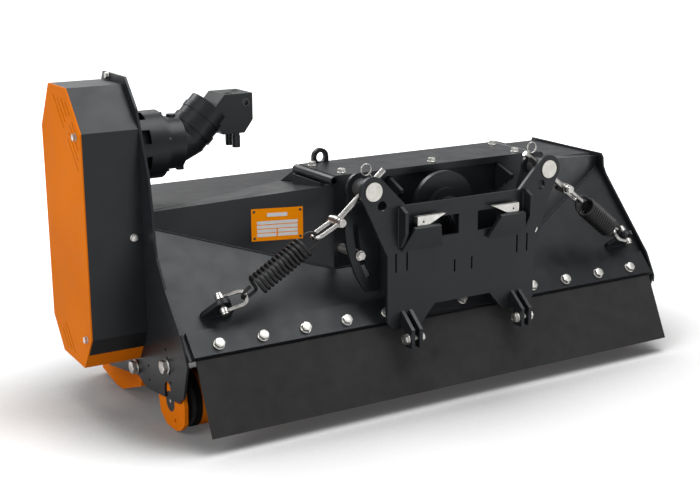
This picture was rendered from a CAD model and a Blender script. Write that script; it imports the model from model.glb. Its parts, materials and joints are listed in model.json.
import bpy
import bmesh
import json
import math
from math import sin, cos, tan, radians, pi
from mathutils import Vector, Matrix


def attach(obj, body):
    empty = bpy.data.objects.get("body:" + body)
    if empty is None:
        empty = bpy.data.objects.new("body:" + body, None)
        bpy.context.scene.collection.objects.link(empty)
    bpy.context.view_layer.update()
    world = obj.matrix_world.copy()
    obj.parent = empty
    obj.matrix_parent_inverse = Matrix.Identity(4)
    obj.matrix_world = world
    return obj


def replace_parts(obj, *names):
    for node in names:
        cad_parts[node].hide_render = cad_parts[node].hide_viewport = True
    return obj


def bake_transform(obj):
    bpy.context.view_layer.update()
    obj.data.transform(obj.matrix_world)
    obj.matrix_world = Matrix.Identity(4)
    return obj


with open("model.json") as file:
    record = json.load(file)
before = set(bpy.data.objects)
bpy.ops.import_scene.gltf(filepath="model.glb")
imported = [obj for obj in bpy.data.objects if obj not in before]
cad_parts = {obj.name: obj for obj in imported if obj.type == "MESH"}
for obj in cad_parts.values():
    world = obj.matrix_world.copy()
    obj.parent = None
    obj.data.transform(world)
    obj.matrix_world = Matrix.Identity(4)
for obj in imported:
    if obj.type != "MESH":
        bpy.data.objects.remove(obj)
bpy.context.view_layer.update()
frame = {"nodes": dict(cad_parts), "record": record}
NODES = frame["nodes"]

# Layout of the machine, in millimetres from the rotor's axis and the deck's middle.
# The belt drive is at -x and the coupler at -y.
MID_X, MID_Y = -52.9, -100.07999
HALF_W = 617.5
SKIN_T, PLATE_T, STRIP_T, SKID_T = 5, 5, 8, 8
PLATE_OUT = HALF_W + PLATE_T
SIDES = ((-1, "drive"), (1, "idle"))

# Deck: a flat top that bends down into the slope, and a short lip on the far side
DECK_Z, BEND_Y, SLOPE = 439, -70, radians(46.7)
DOWN = Vector((0, -cos(SLOPE), -sin(SLOPE)))
OUT = Vector((0, -sin(SLOPE), cos(SLOPE)))
LIP_Y, LIP_DROP, LIP_RUN = 152, 46, 30
LIP = math.atan2(LIP_DROP, LIP_RUN)
LIP_DIR = Vector((0, cos(LIP), -sin(LIP)))
LIP_OUT = Vector((0, sin(LIP), cos(LIP)))
LIP_LEN = math.hypot(LIP_DROP, LIP_RUN)

# Headstock: a box with rounded front corners, and a wing from each corner to the deck's side
HEAD_X, HEAD_HALF, HEAD_FRONT, HEAD_TOP = 44, 287, -212, 493
CORNER_R, WING_TURN, WING_START_Y = 20, radians(16), -99
WING_IN = CORNER_R * (1 - sin(WING_TURN))
WING_END_Y = HEAD_FRONT + CORNER_R * (1 - cos(WING_TURN))

# Coupler, its pivot, and the lugs of the spring chains on the slope
PIVOT_X, COUPLER_Y = 28, -342
LUG_X = {-1: -526, 1: 553}
LUG_S = 267

# Rotor, motor and belt cover
ROTOR_Z, MOTOR_Z = 229, 560
COVER_W, COVER_FRONT = 124, -118


def at(x, y, z):
    """A place of the layout, in the frame's metres."""
    return Vector(((x - MID_X) / 1000, (y - MID_Y) / 1000, z / 1000))


def on_slope(x, s):
    """A point of the slope's outer face, s down from the bend, in the layout."""
    return Vector((x, BEND_Y, DECK_Z)) + DOWN * s


def skin(x, y):
    """A point of the deck skin's outer face above x and y, in the layout."""
    return (x, y, DECK_Z if y > BEND_Y else DECK_Z + (y - BEND_Y) * tan(SLOPE))


# Material nodes

def grey(v):
    return (v, v, v)


def blank_material(name):
    """A material with only its output and the object's own coordinates."""
    m = bpy.data.materials.new(name)
    m.use_nodes = True
    nt = m.node_tree
    for n in list(nt.nodes):
        nt.nodes.remove(n)
    out = nt.nodes.new("ShaderNodeOutputMaterial")
    co = nt.nodes.new("ShaderNodeTexCoord").outputs["Object"]
    return m, nt, out, co


def new_material(name):
    m, nt, out, co = blank_material(name)
    bsdf = nt.nodes.new("ShaderNodeBsdfPrincipled")
    nt.links.new(bsdf.outputs[0], out.inputs[0])
    return m, nt, bsdf, co


def noise(nt, co, scale, detail=3, rough=0.55, stretch=None):
    """Cloudy values from nought to one, with the scale in clouds to the metre."""
    if stretch:
        mapping = nt.nodes.new("ShaderNodeMapping")
        mapping.inputs["Scale"].default_value = stretch
        nt.links.new(co, mapping.inputs[0])
        co = mapping.outputs[0]
    n = nt.nodes.new("ShaderNodeTexNoise")
    n.inputs["Scale"].default_value = scale
    n.inputs["Detail"].default_value = detail
    n.inputs["Roughness"].default_value = rough
    nt.links.new(co, n.inputs["Vector"])
    return n.outputs["Fac"]


def ramp(nt, fac, low, high):
    """Runs from one colour to another, each given with its position."""
    r = nt.nodes.new("ShaderNodeValToRGB")
    for element, (position, colour) in zip(r.color_ramp.elements, (low, high)):
        element.position = position
        element.color = (*colour, 1)
    nt.links.new(fac, r.inputs[0])
    return r.outputs["Color"]


def scaled(nt, value, from_range=(0, 1), to_range=(0, 1)):
    """Carries a value from one range to another, and stops at its ends."""
    m = nt.nodes.new("ShaderNodeMapRange")
    m.inputs["From Min"].default_value, m.inputs["From Max"].default_value = from_range
    m.inputs["To Min"].default_value, m.inputs["To Max"].default_value = to_range
    nt.links.new(value, m.inputs["Value"])
    return m.outputs["Result"]


def maths(nt, operation, *values):
    """One calculation with sockets or plain numbers."""
    m = nt.nodes.new("ShaderNodeMath")
    m.operation = operation
    for socket, value in zip(m.inputs, values):
        if isinstance(value, float):
            socket.default_value = value
        else:
            nt.links.new(value, socket)
    return m.outputs[0]


def bump(nt, bsdf, fac, strength, distance, before=None):
    """Raises the surface by a value, over an earlier bump if one is given."""
    b = nt.nodes.new("ShaderNodeBump")
    b.inputs["Strength"].default_value = strength
    b.inputs["Distance"].default_value = distance
    nt.links.new(fac, b.inputs["Height"])
    if before is not None:
        nt.links.new(before, b.inputs["Normal"])
    nt.links.new(b.outputs[0], bsdf.inputs["Normal"])
    return b.outputs[0]


def light_path(nt):
    return nt.nodes.new("ShaderNodeLightPath").outputs


def seen_directly(nt, path):
    """One for rays from the camera and from glossy surfaces, nought for the rest."""
    return maths(nt, "MAXIMUM", path["Is Camera Ray"], path["Is Glossy Ray"])


def mixed(nt, fac, first, second, out):
    mix = nt.nodes.new("ShaderNodeMixShader")
    nt.links.new(fac, mix.inputs[0])
    nt.links.new(first, mix.inputs[1])
    nt.links.new(second, mix.inputs[2])
    nt.links.new(mix.outputs[0], out.inputs[0])


# Materials

def paint(name, dark, light, rough, grain, shine=0.5, tint=(1, 1, 1)):
    """Sprayed paint: slow changes of colour and gloss, a fine skin and a slight waviness."""
    m, nt, bsdf, co = new_material(name)
    nt.links.new(ramp(nt, noise(nt, co, 5.5, 4), (0.3, dark), (0.7, light)), bsdf.inputs["Base Color"])
    worn = ramp(nt, noise(nt, co, 22, 4), (0.3, grey(rough[0])), (0.7, grey(rough[1])))
    nt.links.new(worn, bsdf.inputs["Roughness"])
    fine = bump(nt, bsdf, noise(nt, co, 950, 2), grain, 0.0004)
    bump(nt, bsdf, noise(nt, co, 9, 2), 0.12, 0.002, fine)
    bsdf.inputs["Specular IOR Level"].default_value = shine
    bsdf.inputs["Specular Tint"].default_value = (*tint, 1)
    return m


def metal(name, dark, light, rough, grain=0.1):
    """Plated or bare steel: blotchy colour, uneven gloss and small dents."""
    m, nt, bsdf, co = new_material(name)
    nt.links.new(ramp(nt, noise(nt, co, 45, 5, 0.65), (0.3, dark), (0.72, light)), bsdf.inputs["Base Color"])
    bsdf.inputs["Metallic"].default_value = 1.0
    worn = ramp(nt, noise(nt, co, 140, 4), (0.3, grey(rough[0])), (0.7, grey(rough[1])))
    nt.links.new(worn, bsdf.inputs["Roughness"])
    fine = bump(nt, bsdf, noise(nt, co, 700, 3, 0.6), grain, 0.0005)
    bump(nt, bsdf, noise(nt, co, 60, 3), 0.1, 0.001, fine)
    return m


def rubber(name, dark, light):
    """Rubber sheet, dull, with a grain and faint level ripples."""
    m, nt, bsdf, co = new_material(name)
    nt.links.new(ramp(nt, noise(nt, co, 7, 6, 0.65), (0.28, dark), (0.72, light)), bsdf.inputs["Base Color"])
    worn = ramp(nt, noise(nt, co, 30, 5), (0.3, grey(0.62)), (0.7, grey(0.8)))
    nt.links.new(worn, bsdf.inputs["Roughness"])
    bsdf.inputs["Specular IOR Level"].default_value = 0.3
    fine = bump(nt, bsdf, noise(nt, co, 420, 4, 0.6), 0.25, 0.0006)
    bump(nt, bsdf, noise(nt, co, 26, 2, 0.5, (1, 1, 6)), 0.12, 0.0015, fine)
    return m


def label_field():
    """The data plate's pale fields."""
    m, nt, bsdf, co = new_material("label_field")
    pale = ramp(nt, noise(nt, co, 80, 3), (0.3, (0.62, 0.62, 0.6)), (0.7, (0.7, 0.7, 0.68)))
    nt.links.new(pale, bsdf.inputs["Base Color"])
    bsdf.inputs["Roughness"].default_value = 0.45
    return m


MATS = {
    "black_paint": paint("black_paint", (0.0078, 0.0086, 0.0101), (0.0124, 0.0137, 0.0159), (0.3, 0.42),
                         0.10, shine=0.26, tint=(0.94, 0.97, 1)),
    "orange_paint": paint("orange_paint", (0.66, 0.156, 0.004), (0.74, 0.184, 0.006), (0.42, 0.55),
                          0.10, shine=0.01, tint=(1, 0.45, 0.1)),
    "label_orange": paint("label_orange", (0.86, 0.25, 0.002), (0.9, 0.275, 0.003), (0.3, 0.38),
                          0.03, shine=0.08, tint=(1, 0.5, 0.1)),
    "zinc_steel": metal("zinc_steel", (0.42, 0.41, 0.39), (0.68, 0.67, 0.64), (0.3, 0.5)),
    "chain_zinc": metal("chain_zinc", (0.26, 0.255, 0.245), (0.5, 0.49, 0.47), (0.22, 0.4)),
    "trunnion_zinc": metal("trunnion_zinc", (0.5, 0.49, 0.45), (0.66, 0.65, 0.61), (0.5, 0.66), grain=0.2),
    "spring_black": paint("spring_black", grey(0.006), grey(0.012), (0.32, 0.42), 0.05, shine=0.3),
    "rubber": rubber("rubber", grey(0.012), grey(0.021)),
    "cast_dark": paint("cast_dark", grey(0.011), grey(0.02), (0.45, 0.6), 0.4),
    "flail_steel": metal("flail_steel", (0.16, 0.15, 0.14), (0.36, 0.34, 0.31), (0.42, 0.62), grain=0.3),
    "label_field": label_field(),
}


def two_tone(name, new_name, make_mask, colour):
    """A copy of a material with a second colour where the mask is one."""
    m = MATS[name].copy()
    m.name = new_name
    nt = m.node_tree
    bsdf = [n for n in nt.nodes if n.type == "BSDF_PRINCIPLED"][0]
    co = [n for n in nt.nodes if n.type == "TEX_COORD"][0].outputs["Object"]
    axes = nt.nodes.new("ShaderNodeSeparateXYZ")
    nt.links.new(co, axes.inputs[0])
    fac = make_mask(nt, axes.outputs)
    mix = nt.nodes.new("ShaderNodeMix")
    mix.data_type = "RGBA"
    nt.links.new(fac, mix.inputs["Factor"])
    nt.links.new(bsdf.inputs["Base Color"].links[0].from_socket, mix.inputs["A"])
    mix.inputs["B"].default_value = (*colour, 1)
    nt.links.new(mix.outputs["Result"], bsdf.inputs["Base Color"])
    return m, bsdf, fac


# Where the roller's paint ends, in metres from its middle, and the trunnions' bright faces, in millimetres
# off the coupler's face
PAINT_END = (0.5705, 0.5715)
BRIGHT_FACE = (-1.2, -0.8)


def roller_ends(nt, axes):
    """The roller's two black ends."""
    from_middle = maths(nt, "ABSOLUTE", maths(nt, "SUBTRACT", axes[0], at(0, 0, 0).x))
    return scaled(nt, from_middle, PAINT_END)


def behind_face(nt, axes):
    """What lies behind the trunnions' front ends."""
    return scaled(nt, axes[1], [at(0, COUPLER_Y + off, 0).y for off in BRIGHT_FACE])


def roller_paint():
    return two_tone("orange_paint", "roller_paint", roller_ends, grey(0.012))[0]


def trunnion_steel():
    """Bright on the front ends, dark and without metal's gloss behind them."""
    m, bsdf, behind = two_tone("trunnion_zinc", "trunnion_steel", behind_face, grey(0.03))
    nt = m.node_tree
    nt.links.new(scaled(nt, behind, to_range=(1, 0)), bsdf.inputs["Metallic"])
    return m


def dress_nodes():
    """Gives each solid its slot's material, and some their own."""
    for subpart in frame["record"]["subparts"]:
        materials = NODES[subpart["node"]].data.materials
        materials.clear()
        materials.append(MATS[subpart["material_slot"]])
    own = {"roller": roller_paint()}
    trunnion = trunnion_steel()
    for _, word in SIDES:
        own["trunnion_" + word] = trunnion
        for name in ("lower_shackle_", "upper_shackle_", "eye_rod_", "rod_clip_"):
            own[name + word] = MATS["chain_zinc"]
    for name, material in own.items():
        NODES[name].data.materials[0] = material


# Width of the small rounded edges in millimetres, and the solids that have them
EDGES = {
    0.2: ("data_plate",),
    0.5: ("belt_cover_face",),
    0.6: ("wedges", "curtain_strip"),
    0.7: ("side_plate_drive", "side_plate_idle"),
    0.8: ("deck_shell", "headstock_lid", "coupler_plate", "guide_disc", "hook_pockets", "lower_lugs",
          "motor_spacer", "spring_lugs", "rear_flap", "trunnion_drive", "trunnion_idle", "motor_body",
          "roller_bearings"),
    0.9: ("clamp_strip",),
    1.0: ("wing_drive", "wing_idle", "skids", "roller_arms", "pivot_hub", "rotor_bearings"),
    1.2: ("headstock_box", "belt_tray"),
    1.5: ("motor_port_block",),
    1.6: ("belt_cover",),
}


def round_edges():
    for width, names in EDGES.items():
        for name in names:
            bevel = NODES[name].modifiers.new("edge", "BEVEL")
            bevel.width = width / 1000
            bevel.segments = 2
            bevel.limit_method = "ANGLE"
            bevel.angle_limit = radians(38)
            bevel.harden_normals = False


# Mesh helpers. A put function turns a, b and c along its own axes into a place in metres.

SHARP = radians(35)
HEAD_STEPS, SOCKET_STEPS = 48, 36


def basis(origin, z, x):
    """The put function at an origin with its third axis along z and its first near x."""
    z = Vector(z).normalized()
    x = Vector(x)
    x = (x - z * x.dot(z)).normalized()
    y = z.cross(x)
    return lambda a, b, c: origin + (x * a + y * b + z * c) / 1000


def circle(put, r, z, n):
    return [put(r * cos(2 * pi * k / n), r * sin(2 * pi * k / n), z) for k in range(n)]


def socket_ring(put, corner, z):
    """A hexagon's outline with its corners at the given radius."""
    points = []
    for k in range(SOCKET_STEPS):
        a = 2 * pi * k / SOCKET_STEPS
        r = corner * cos(pi / 6) / cos(a % (pi / 3) - pi / 6)
        points.append(put(r * cos(a), r * sin(a), z))
    return points


class Shape:
    """Collects the parts of one mesh."""

    def __init__(self):
        self.v = []
        self.f = []

    def rings(self, rings, cap_start=True, cap_end=True):
        """Joins rings of equally many points."""
        n = len(rings[0])
        base = len(self.v)
        for r in rings:
            self.v.extend(r)
        for i in range(len(rings) - 1):
            for k in range(n):
                a = base + i * n + k
                b = base + i * n + (k + 1) % n
                self.f.append((a, b, b + n, a + n))
        if cap_start:
            self.f.append(tuple(base + k for k in reversed(range(n))))
        if cap_end:
            self.f.append(tuple(base + (len(rings) - 1) * n + k for k in range(n)))

    def lathe(self, put, profile, n, caps=True):
        """Turns a profile of radii and heights."""
        self.rings([circle(put, r, z, n) for r, z in profile], caps, caps)

    def hexagon(self, put, d, height, base, both_ends=False):
        """A head or nut for a thread of diameter d, its corners cut at 30 degrees."""
        flat = 0.8 * d
        inner = 0.96 * flat
        n = HEAD_STEPS
        turns = [2 * pi * k / n for k in range(n)]
        radii = [flat / cos(a % (pi / 3) - pi / 6) for a in turns]
        cuts = [(r - 0.99 * flat) * tan(radians(30)) for r in radii]

        def edge(heights):
            return [put(r * cos(a), r * sin(a), base + z) for a, r, z in zip(turns, radii, heights)]
        low = [circle(put, inner, base, n), edge(cuts)] if both_ends else [edge([0] * n)]
        self.rings(low + [edge([height - c for c in cuts]), circle(put, inner, base + height, n)])

    def tube(self, pts, r, n):
        """A round tube along points, with one radius or one for each point, in millimetres."""
        last = len(pts) - 1
        radii = r if isinstance(r, list) else [r] * len(pts)
        normal = Vector((0.3, 0.2, 1))
        turns = [2 * pi * k / n for k in range(n)]
        rings = []
        for i, (p, radius) in enumerate(zip(pts, radii)):
            along = (pts[min(i + 1, last)] - pts[max(i - 1, 0)]).normalized()
            normal = (normal - along * normal.dot(along)).normalized()
            side = along.cross(normal)
            rings.append([p + (normal * cos(a) + side * sin(a)) * radius / 1000 for a in turns])
        self.rings(rings)

    def build(self, name, slot, body=None):
        """Makes the object, smooth between its sharp edges."""
        me = bpy.data.meshes.new(name)
        me.from_pydata([tuple(v) for v in self.v], [], self.f)
        me.validate()
        ob = bpy.data.objects.new(name, me)
        bpy.context.scene.collection.objects.link(ob)
        me.materials.append(MATS[slot])
        bm = bmesh.new()
        bm.from_mesh(me)
        bmesh.ops.recalc_face_normals(bm, faces=bm.faces)
        for f in bm.faces:
            f.smooth = True
        for e in bm.edges:
            if len(e.link_faces) == 2 and e.calc_face_angle(0) > SHARP:
                e.smooth = False
        bm.to_mesh(me)
        bm.free()
        if body:
            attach(ob, body)
        return ob


# Fasteners

M8, M10, M12, M16 = 8, 10, 12, 16
THREAD_PITCH = 1.75


def bolt(shape, put, d, grip, nut=True):
    """A hexagon bolt and its washer, seated at nought, with its shank going down."""
    washer = 0.2 * d
    shape.lathe(put, [(0.94 * d, 0), (1.0 * d, 0.05 * d), (1.0 * d, washer - 0.05 * d),
                      (0.94 * d, washer)], 32)
    shape.hexagon(put, d, 0.65 * d, washer)
    shape.lathe(put, [(0.62 * d, washer + 0.649 * d), (0.6 * d, washer + 0.66 * d),
                      (0.5 * d, washer + 0.66 * d), (0.48 * d, washer + 0.645 * d)], 24)
    end = -grip - 1.1 * d if nut else -grip
    profile = [(0.5 * d, 0.1)]
    z = -grip * 0.3
    while z > end + 2.2:
        profile += [(0.5 * d, z), (0.45 * d, z - 0.8), (0.5 * d, z - 1.6)]
        z -= THREAD_PITCH
    profile += [(0.44 * d, end + 0.4), (0.38 * d, end)]
    shape.lathe(put, profile, 20)
    if nut:
        shape.hexagon(put, d, 0.85 * d, -grip - 0.85 * d, True)


def cap_screw(shape, put, d):
    """A socket cap screw's head, seated at nought."""
    outside = ((0.72, 0), (0.78, 0.06), (0.78, 0.9), (0.7, 1), (0.44, 1))
    inside = ((0.42, 0.97), (0.4, 0.45))
    head = [circle(put, q * d, z * d, SOCKET_STEPS) for q, z in outside]
    socket = [socket_ring(put, q * d, z * d) for q, z in inside]
    shape.rings(head + socket)


STRIP_BOLTS, STRIP_PITCH, STRIP_BOLT_S = 12, 99.6, 338
CURTAIN_BOLTS, CURTAIN_PITCH, CURTAIN_STRIP_T, CURTAIN_BOLT_UP = 8, 160, 5, 20


def strip_bolts():
    """The row on the clamp strip and the row on the far lip's strip."""
    s = Shape()
    for i in range(STRIP_BOLTS):
        turn = (cos(i * 1.3), sin(i * 1.3) * 0.6, sin(i * 1.3) * 0.5)
        p = on_slope((i - (STRIP_BOLTS - 1) / 2) * STRIP_PITCH, STRIP_BOLT_S) + OUT * STRIP_T
        bolt(s, basis(at(*p), OUT, turn), M12, STRIP_T + SKIN_T)
    for i in range(CURTAIN_BOLTS):
        p = Vector(((i - (CURTAIN_BOLTS - 1) / 2) * CURTAIN_PITCH, LIP_Y, DECK_Z))
        p = p + LIP_DIR * (LIP_LEN - CURTAIN_BOLT_UP) + LIP_OUT * CURTAIN_STRIP_T
        bolt(s, basis(at(*p), LIP_OUT, (1, 0, 0)), M10, CURTAIN_STRIP_T + SKIN_T)
    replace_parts(s.build("strip_bolt_set", "zinc_steel", "deck"), "strip_bolts")


LID_BOLTS = ((-235, -192), (0, -192), (235, -192), (-249, -88), (249, -88))
LID_GRIP = 11


def lid_bolts():
    """The bolts on the headstock's top cover."""
    s = Shape()
    for i, (x, y) in enumerate(LID_BOLTS):
        put = basis(at(HEAD_X + x, y, HEAD_TOP), (0, 0, 1), (cos(i * 2.1), sin(i * 2.1), 0))
        bolt(s, put, M10, LID_GRIP)
    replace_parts(s.build("cover_bolt_set", "zinc_steel", "deck"), "lid_bolts")


SKID_BOLTS = ((-215, 138), (-45, 86), (130, 60))
BEARING_RING, BEARING_FLANGE_T = 55, 12
MOTOR_RING, MOTOR_FLANGE_T = 59, 20


def four_on_ring(r, z):
    """Four places on a ring in the end plates, as their number and y and z."""
    for k in range(4):
        a = radians(45 + 90 * k)
        yield k, -r * sin(a), z + r * cos(a)


def frame_bolts():
    """The bolts of skids, rotor bearings and motor on the end plates."""
    s = Shape()
    for side, _ in SIDES:
        for k, (y, z) in enumerate(SKID_BOLTS):
            put = basis(at(side * PLATE_OUT, y, z), (side, 0, 0), (0, cos(k), sin(k)))
            bolt(s, put, M16, PLATE_T + SKID_T)
        for k, y, z in four_on_ring(BEARING_RING, ROTOR_Z):
            put = basis(at(side * (PLATE_OUT + BEARING_FLANGE_T), y, z), (side, 0, 0), (0, cos(k), sin(k)))
            bolt(s, put, M12, BEARING_FLANGE_T + PLATE_T, False)
    for k, y, z in four_on_ring(MOTOR_RING, MOTOR_Z):
        put = basis(at(-PLATE_OUT, y, z), (-1, 0, 0), (0, cos(k), sin(k)))
        bolt(s, put, M12, PLATE_T + MOTOR_FLANGE_T, False)
    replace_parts(s.build("frame_bolt_set", "zinc_steel", "deck"), "frame_bolts")


LOWER_LUG_X, LOWER_LUG_OUT, LOWER_LUG_Z, LOWER_LUG_HALF = 147, 26, 154, 14


def lug_bolts():
    """The cross bolts in the coupler's two lower lugs."""
    s = Shape()
    for side, _ in SIDES:
        seat = at(PIVOT_X + side * LOWER_LUG_X - LOWER_LUG_HALF, COUPLER_Y - LOWER_LUG_OUT, LOWER_LUG_Z)
        bolt(s, basis(seat, (-1, 0, 0), (0, 1, side)), M12, 2 * LOWER_LUG_HALF)
    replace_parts(s.build("lug_bolt_set", "zinc_steel", "coupler"), "lug_bolts")


FACE_SCREWS, FACE_SCREW_GRIP = ((-91, 606), (-92, 182)), 12
FRONT_BOLT_X, FRONT_BOLT_Z, FRONT_BOLT_GRIP = -643.5, 392, 14
TAB_BOLT_Y, TAB_BOLT_Z = 40, 707.5


def cover_screws():
    """The belt cover's two face screws, its front bolt and the bolt of its top tab."""
    s = Shape()
    for k, (y, z) in enumerate(FACE_SCREWS):
        put = basis(at(-PLATE_OUT - COVER_W, y, z), (-1, 0, 0), (0, cos(k), sin(k)))
        bolt(s, put, M8, FACE_SCREW_GRIP, False)
    put = basis(at(FRONT_BOLT_X, COVER_FRONT, FRONT_BOLT_Z), (0, -1, 0), (1, 0, 0.4))
    bolt(s, put, M8, FRONT_BOLT_GRIP, False)
    bolt(s, basis(at(-PLATE_OUT, TAB_BOLT_Y, TAB_BOLT_Z), (-1, 0, 0), (0, 1, 0.3)), M8, PLATE_T)
    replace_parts(s.build("cover_screw_set", "zinc_steel", "deck"), "cover_screws")


# Springs. On each side a lug, a shackle, the spring, a shackle, a rod and the coupler's ear make a chain.
# The turns are the angles of the rod and of the two shackles, and the bows are the shackles' lengths.
# The wire is drawn a little thicker than its nominal radius, as the photograph shows it.

COIL_R, WIRE_R, COILS, HALF_COIL_STEPS = 21, 3, 13, 18
HOOK_R, HOOK_LEG = 18, 18
LEAD_ASIDE, LEAD_RISE, LEAD_PULL = 7, 8, 12
EAR_OUT, EAR_Y, EAR_Z, ROD_LEN = 231, -311.5, 478, 92
LOWER_BOW, UPPER_BOW, BOW_WIRE_R, SEAT_GAP = 52, 62, 4.5, 0.8
ROD_TURN = {-1: radians(40), 1: radians(38)}
UPPER_TURN = {-1: radians(27), 1: radians(38)}
LOWER_TURN = radians(25)
LUG_HEIGHT = 40
WIRE_EXTRA = 0.6


def spring_half(body_len, twist):
    """Half a spring about its own axis, from its middle up to the end of its hook."""
    lead = math.asin(LEAD_ASIDE / COIL_R)
    plane = COILS * pi + twist / 2
    end = plane - lead
    e = Vector((cos(plane), sin(plane), 0))
    k = Vector((0, 0, 1))
    n = HALF_COIL_STEPS * COILS
    half = []
    for i in range(n + 1):
        a = end * i / n
        half.append(Vector((COIL_R * cos(a), COIL_R * sin(a), body_len / 2 * i / n)))

    # The wire leaves the last coil, bends inwards and up, and goes over into the hook
    p0 = half[-1]
    p1 = HOOK_R * e + (body_len / 2 + LEAD_RISE) * k
    t0 = LEAD_PULL * Vector((-sin(end), cos(end), 0.08)).normalized()
    t1 = LEAD_PULL * k
    for j in range(1, 7):
        t = j / 6
        half.append((2 * t ** 3 - 3 * t * t + 1) * p0 + (t ** 3 - 2 * t * t + t) * t0
                    + (3 * t * t - 2 * t ** 3) * p1 + (t ** 3 - t * t) * t1)
    for j in range(17):
        a = pi * j / 16
        half.append(HOOK_R * cos(a) * e + (body_len / 2 + HOOK_LEG + HOOK_R * sin(a)) * k)
    half.append(-HOOK_R * e + (body_len / 2 + HOOK_LEG - 2 * WIRE_R) * k)
    return half


def spring_points(body_len, twist):
    """The whole spring: its upper half and the same half turned over."""
    half = spring_half(body_len, twist)
    return [Vector((p.x, -p.y, -p.z)) for p in half[:0:-1]] + half


def spring_ends(side):
    """Where the spring's two hooks lie in the bows of their shackles."""
    bite = BOW_WIRE_R + WIRE_R + SEAT_GAP
    lug = on_slope(LUG_X[side], LUG_S) + OUT * LUG_HEIGHT
    lower = Vector((-side * cos(LOWER_TURN), 0, 0)) + sin(LOWER_TURN) * OUT
    ear = Vector((PIVOT_X + side * EAR_OUT, EAR_Y, EAR_Z))
    rod = Vector((-side * cos(ROD_TURN[side]), 0, sin(ROD_TURN[side])))
    upper = Vector((-side * cos(UPPER_TURN[side]), 0, sin(UPPER_TURN[side])))
    return lug + (LOWER_BOW - bite) * lower, ear - ROD_LEN * rod - (UPPER_BOW - bite) * upper


def square_to(v, t):
    """The direction of v without its share along t."""
    return (v - t * v.dot(t)).normalized()


def spring(side, word):
    """One wound wire, turned so that each hook is square to its shackle's pin."""
    a, b = spring_ends(side)
    along = (b - a).normalized()
    low, high = [square_to(pin, along).cross(along).normalized() for pin in (DOWN, Vector((0, -1, 0)))]
    twist = math.atan2(low.cross(high).dot(along), low.dot(high))
    x = square_to(low + high, along)
    y = along.cross(x)
    points = []
    for p in spring_points((b - a).length - 2 * (HOOK_R + HOOK_LEG), twist):
        points.append(at(*((a + b) / 2 + x * p.x + y * p.y + along * p.z)))
    s = Shape()
    s.tube(points, WIRE_R + WIRE_EXTRA, 16)
    wire = s.build("spring_wire_" + word, "spring_black")
    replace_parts(wire, "spring_" + word)
    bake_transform(wire)


# Data plate on the drive side's wing

WING_LINE = Vector((HEAD_X - HEAD_HALF + WING_IN + HALF_W, WING_END_Y - WING_START_Y, 0)).normalized()
WING_OUT = Vector((WING_LINE.y, -WING_LINE.x, 0))
PLATE_ALONG, PLATE_THICK, PLATE_Z = 230, 1.5, 360
PLATE_AT = Vector((-HALF_W, WING_START_Y, 0)) + WING_LINE * PLATE_ALONG + WING_OUT * PLATE_THICK
FIELD_SUNK, FIELD_PROUD = 0.2, 0.25
ROW_H, ROW_STEP, SPLIT_ROWS, FULL_ROWS = 7, 9, 9, 27
ROW_START, SPLIT_END, SPLIT_START, ROW_END = 12, 54, 57, 100
HEADING = (34, 52, 78, 60)
RIVETS = ((6, 6), (106, 6), (6, 64), (106, 64))
RIVET = ((3.0, -0.2), (2.8, 0.5), (2.0, 1.2), (0.6, 1.5))


def on_plate(u, w, h=0.0):
    """A place u along, w up and h off the data plate's face."""
    p = PLATE_AT + WING_LINE * u + WING_OUT * h
    return at(p.x, p.y, PLATE_Z + w)


def field(s, u0, w0, u1, w1):
    """A thin pale block on the data plate."""
    s.rings([[on_plate(u0, w0, h), on_plate(u1, w0, h), on_plate(u1, w1, h), on_plate(u0, w1, h)]
             for h in (-FIELD_SUNK, FIELD_PROUD)])


def plate_fields():
    """Two full rows over two split rows, and a short heading field above them."""
    s = Shape()
    for row in range(2):
        w = FULL_ROWS + row * ROW_STEP
        field(s, ROW_START, w, ROW_END, w + ROW_H)
    for row in range(2):
        w = SPLIT_ROWS + row * ROW_STEP
        field(s, ROW_START, w, SPLIT_END, w + ROW_H)
        field(s, SPLIT_START, w, ROW_END, w + ROW_H)
    field(s, *HEADING)
    s.build("plate_fields", "label_field", "deck")


def plate_rivets():
    """A dark rivet in each corner of the plate."""
    s = Shape()
    for u, w in RIVETS:
        s.lathe(basis(on_plate(u, w), WING_OUT, WING_LINE), RIVET, 20)
    s.build("plate_rivets", "cast_dark", "deck")


# Motor details

BLOCK_X, BLOCK_FRONT, BLOCK_TOP = -406, -40, 657.8
PORT_X, PORT_Z, PORT_R, PORT_SUNK, PORT_LEN = 65, 637, 9.8, 6, 7.2
PORT_RIMS = ((32, -18), (62, 12))
PORT_RIM = ((9.5, -0.2), (9.5, 1.0), (8.8, 1.6), (5.4, 1.6), (5.2, -0.1), (0.5, -0.1))
SCREW_COUNT, SCREW_RING, SCREW_D, SCREW_SEAT = 6, 68.6, 5.4, 81.8


def port_plug():
    """The socket plug on the port block's front."""
    s = Shape()
    put = basis(at(BLOCK_X + PORT_X, BLOCK_FRONT + PORT_SUNK, PORT_Z), (0, -1, 0), (1, 0, 0.3))
    s.lathe(put, [(PORT_R, 0), (PORT_R, 6.4), (9.0, PORT_LEN), (6.2, PORT_LEN)], 40, False)
    s.rings([circle(put, 6.2, PORT_LEN, SOCKET_STEPS), socket_ring(put, 5.6, PORT_LEN),
             socket_ring(put, 5.4, 2.0)], False, True)
    s.build("port_plug", "cast_dark", "deck")


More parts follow.
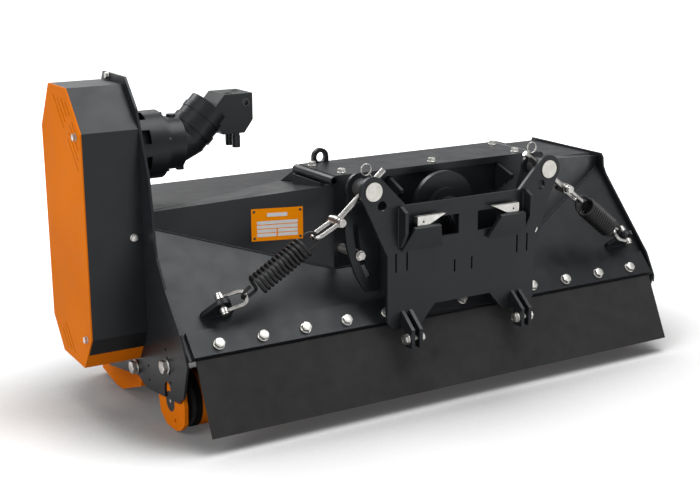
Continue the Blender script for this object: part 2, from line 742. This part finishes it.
def motor_cap_screws():
    """Two port rims on the block's top, and the screws round the motor's flange."""
    s = Shape()
    for x, y in PORT_RIMS:
        s.lathe(basis(at(BLOCK_X + x, y, BLOCK_TOP), (0, 0, 1), (1, 0.2, 0)), PORT_RIM, 36)
    for k in range(SCREW_COUNT):
        a = radians(15) + 2 * pi * k / SCREW_COUNT
        seat = at(-HALF_W + SCREW_SEAT, -SCREW_RING * sin(a), MOTOR_Z + SCREW_RING * cos(a))
        cap_screw(s, basis(seat, (1, 0, 0), (0, 1, 0)), SCREW_D)
    s.build("motor_cap_screws", "cast_dark", "deck")


# Roller ends

ROLLER_Y, ROLLER_Z, ROLLER_END, ROLLER_CAP = -212, 60, 584.5, 616.5
SEAL = ((17, -1), (17, 10.6), (20, 11.4), (46, 11.4), (50, 9.8), (56.4, 9.8), (58.4, 8.4), (58.4, 0.4),
        (56, -1), (17, -1))
CAP = ((15.2, -1.5), (15.2, 0.3), (14.4, 0.9), (4.6, 0.9), (3.4, -0.6), (0.5, -1.6))
CENTRE = ((3.9, -0.4), (3.9, 1.0), (3.2, 1.6), (0.5, 1.7))


def roller_end(side, word):
    """The rubber seal at the roller's end, and the cap of its shaft in the arm."""
    for name, slot, x, profile, n, caps in (("seal", "rubber", ROLLER_END, SEAL, 64, False),
                                            ("cap", "cast_dark", ROLLER_CAP, CAP, 40, True),
                                            ("centre", "zinc_steel", ROLLER_CAP, CENTRE, 24, True)):
        s = Shape()
        s.lathe(basis(at(side * x, ROLLER_Y, ROLLER_Z), (side, 0, 0), (0, 1, 0)), profile, n, caps)
        s.build("roller_" + name + "_" + word, slot, "roller")


# Weld beads

BEAD_STEP, BEAD_WAVE = 1.4, 3.4
HEAD_BEAD_HALF, LID_UNDER, HEAD_SIDE_FROM, HEAD_SIDE_TO = 266, 474, -196, -70
LUG_HALF, LUG_BEAD_OUT = 34, 5.2
POCKET_X, POCKET_HALF, POCKET_UNDER = 113, 44, 346
WEB_OUT, WEB_BEAD_OUT, WEB_FROM, WEB_TO = 52, 4.4, 350, 438


def bead(s, p, q, r=2.6):
    """A weld bead between two places, with a ripple and thin ends."""
    p, q = Vector(p), Vector(q)
    length = (q - p).length
    n = max(4, int(length / BEAD_STEP))
    step = 2 * pi * length / n / BEAD_WAVE
    radii = []
    for i in range(n + 1):
        taper = min(1, 0.5 + 0.3 * min(i, n - i))
        radii.append(max(0.4, r * (1 + 0.10 * sin(step * i)) * taper))
    s.tube([at(*(p + (q - p) * i / n)) for i in range(n + 1)], radii, 8)


def deck_welds():
    """Along the wings, the headstock's front and sides, and the lugs of the spring chains."""
    s = Shape()
    end_x = HEAD_HALF - WING_IN
    bead(s, skin(-HALF_W + 2, WING_START_Y - 0.5), skin(HEAD_X - end_x, WING_END_Y - 0.5))
    bead(s, skin(HEAD_X + end_x, WING_END_Y - 0.5), skin(HALF_W - 2, WING_START_Y - 0.5))
    bead(s, skin(HEAD_X - HEAD_BEAD_HALF, HEAD_FRONT - 0.6), skin(HEAD_X + HEAD_BEAD_HALF, HEAD_FRONT - 0.6))
    for side, _ in SIDES:
        x = HEAD_X + side * (HEAD_HALF + 0.4)
        bead(s, (x, HEAD_SIDE_FROM, LID_UNDER), (x, HEAD_SIDE_TO, LID_UNDER), 2)
        for u in (-LUG_BEAD_OUT, LUG_BEAD_OUT):
            p = on_slope(LUG_X[side] - LUG_HALF, LUG_S + u)
            bead(s, p, p + Vector((2 * LUG_HALF, 0, 0)), 2.4)
    s.build("deck_welds", "black_paint", "deck")


def coupler_welds():
    """Under each hook pocket, and up both sides of its web."""
    s = Shape()
    for side, _ in SIDES:
        x = PIVOT_X + side * POCKET_X
        y = COUPLER_Y - 0.3
        bead(s, (x - POCKET_HALF, y, POCKET_UNDER), (x + POCKET_HALF, y, POCKET_UNDER))
        for u in (-WEB_BEAD_OUT, WEB_BEAD_OUT):
            web = x + side * WEB_OUT + u
            bead(s, (web, COUPLER_Y - 0.2, WEB_FROM), (web, COUPLER_Y - 0.2, WEB_TO), 2)
    s.build("coupler_welds", "black_paint", "coupler")


# Stage, lights and camera

WHITE = (1, 1, 1, 1)


def floor_material():
    """Pale and shaded near the machine, and glowing white further off, where it is seen."""
    m, nt, out, co = blank_material("studio_floor")
    shade = nt.nodes.new("ShaderNodeBsdfDiffuse")
    hidden = nt.nodes.new("ShaderNodeAmbientOcclusion")
    hidden.inputs["Distance"].default_value = 0.42
    nt.links.new(ramp(nt, hidden.outputs["AO"], (0.5, grey(0.22)), (0.93, grey(0.82))), shade.inputs[0])
    far = nt.nodes.new("ShaderNodeVectorMath")
    far.operation = "LENGTH"
    nt.links.new(co, far.inputs[0])
    glow = nt.nodes.new("ShaderNodeEmission")
    glow.inputs[0].default_value = WHITE
    nt.links.new(scaled(nt, far.outputs["Value"], (0.9, 2.8), (0.06, 1.0)), glow.inputs[1])
    shown = nt.nodes.new("ShaderNodeAddShader")
    nt.links.new(shade.outputs[0], shown.inputs[0])
    nt.links.new(glow.outputs[0], shown.inputs[1])
    plain = nt.nodes.new("ShaderNodeBsdfDiffuse")
    plain.inputs[0].default_value = (0.5, 0.5, 0.5, 1)
    mixed(nt, seen_directly(nt, light_path(nt)), plain.outputs[0], shown.outputs[0], out)
    return m


def studio_floor():
    bpy.ops.mesh.primitive_plane_add(size=60, location=(0, 0, -0.0005))
    floor = bpy.context.object
    floor.name = "studio_floor"
    floor.data.materials.append(floor_material())


def studio_world():
    """Dim light on the surfaces, white behind the machine, and between the two in reflections."""
    world = bpy.data.worlds.new("studio")
    bpy.context.scene.world = world
    world.use_nodes = True
    nt = world.node_tree
    lit = nt.nodes["Background"]
    lit.inputs[0].default_value = WHITE
    lit.inputs[1].default_value = 0.28
    shown = nt.nodes.new("ShaderNodeBackground")
    shown.inputs[0].default_value = WHITE
    path = light_path(nt)
    nt.links.new(scaled(nt, path["Is Camera Ray"], to_range=(0.58, 1)), shown.inputs[1])
    mixed(nt, seen_directly(nt, path), lit.outputs[0], shown.outputs[0], nt.nodes["World Output"])


def aimed(location, target):
    return (Vector(target) - Vector(location)).to_track_quat("-Z", "Y").to_euler()


# Place, aim, size and power of each lamp, in metres and watts
LAMPS = {
    "top": ((1.0, -0.6, 3.3), (-0.1, -0.1, 0.3), (2.4, 2.2), 98),
    "key": ((-3.0, -0.9, 2.2), (0, 0, 0.3), (1.8, 1.8), 60),
    "fill": ((2.2, -2.6, 1.6), (0, 0, 0.3), (2.0, 2.0), 8),
    "rear": ((-0.5, 2.7, 2.9), (0, 0, 0.3), (2.6, 1.4), 85),
}


def studio_lamps():
    for name, (location, target, size, power) in LAMPS.items():
        light = bpy.data.lights.new(name, "AREA")
        light.shape = "RECTANGLE"
        light.size, light.size_y = size
        light.energy = power
        lamp = bpy.data.objects.new(name, light)
        lamp.location = location
        lamp.rotation_euler = aimed(location, target)
        bpy.context.scene.collection.objects.link(lamp)


# The camera's place in the layout and its directions, found from the deck's edges in the photograph
CAMERA_AT = (-1613, -2595.7, 1046.5)
CAMERA_RIGHT = (0.8568, -0.5156, -0.0044)
CAMERA_FORWARD = (0.4980, 0.8298, -0.2519)
LENS, SENSOR = 67.7, 36


def studio_camera():
    data = bpy.data.cameras.new("camera")
    data.lens = LENS
    data.sensor_width = SENSOR
    data.clip_end = 100
    camera = bpy.data.objects.new("camera", data)
    bpy.context.scene.collection.objects.link(camera)
    forward = Vector(CAMERA_FORWARD).normalized()
    right = square_to(Vector(CAMERA_RIGHT), forward)
    turn = Matrix((right, right.cross(forward), -forward)).transposed()
    camera.matrix_world = Matrix.Translation(at(*CAMERA_AT)) @ turn.to_4x4()
    bpy.context.scene.camera = camera


dress_nodes()
round_edges()
for make in (strip_bolts, lid_bolts, frame_bolts, lug_bolts, cover_screws):
    make()
for side, word in SIDES:
    spring(side, word)
for make in (plate_fields, plate_rivets, port_plug, motor_cap_screws):
    make()
for side, word in SIDES:
    roller_end(side, word)
for make in (deck_welds, coupler_welds, studio_floor, studio_world, studio_lamps, studio_camera):
    make()
bpy.context.scene.view_settings.view_transform = "Standard"
